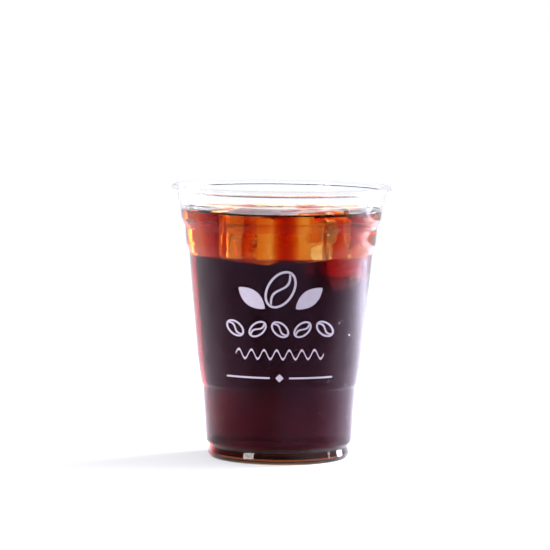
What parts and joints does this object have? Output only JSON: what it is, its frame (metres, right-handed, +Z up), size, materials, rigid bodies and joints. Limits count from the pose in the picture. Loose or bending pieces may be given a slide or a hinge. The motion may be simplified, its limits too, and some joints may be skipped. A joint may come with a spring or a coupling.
{
  "type": "cold brew coffee",
  "caption": "Iced cold brew coffee in a clear thin-walled plastic cup with a rolled lip, a lid seat, stacking ledges and a stepped lower wall, filled to just under the rim.",
  "frame": {"origin": "centre of the cup's base, on the surface it stands on", "axes": "+Z up along the cup's axis; X and Y lie on the surface, and the camera looks along +Y"},
  "size_m": [0.098, 0.098, 0.1215],
  "materials": {
    "plastic": "clear, smooth thermoformed plastic sheet",
    "coffee": "dark red-brown liquid with a smooth surface"
  },
  "bodies": {
    "root": {"cup": "plastic", "coffee": "coffee"}
  },
  "joints": []
}
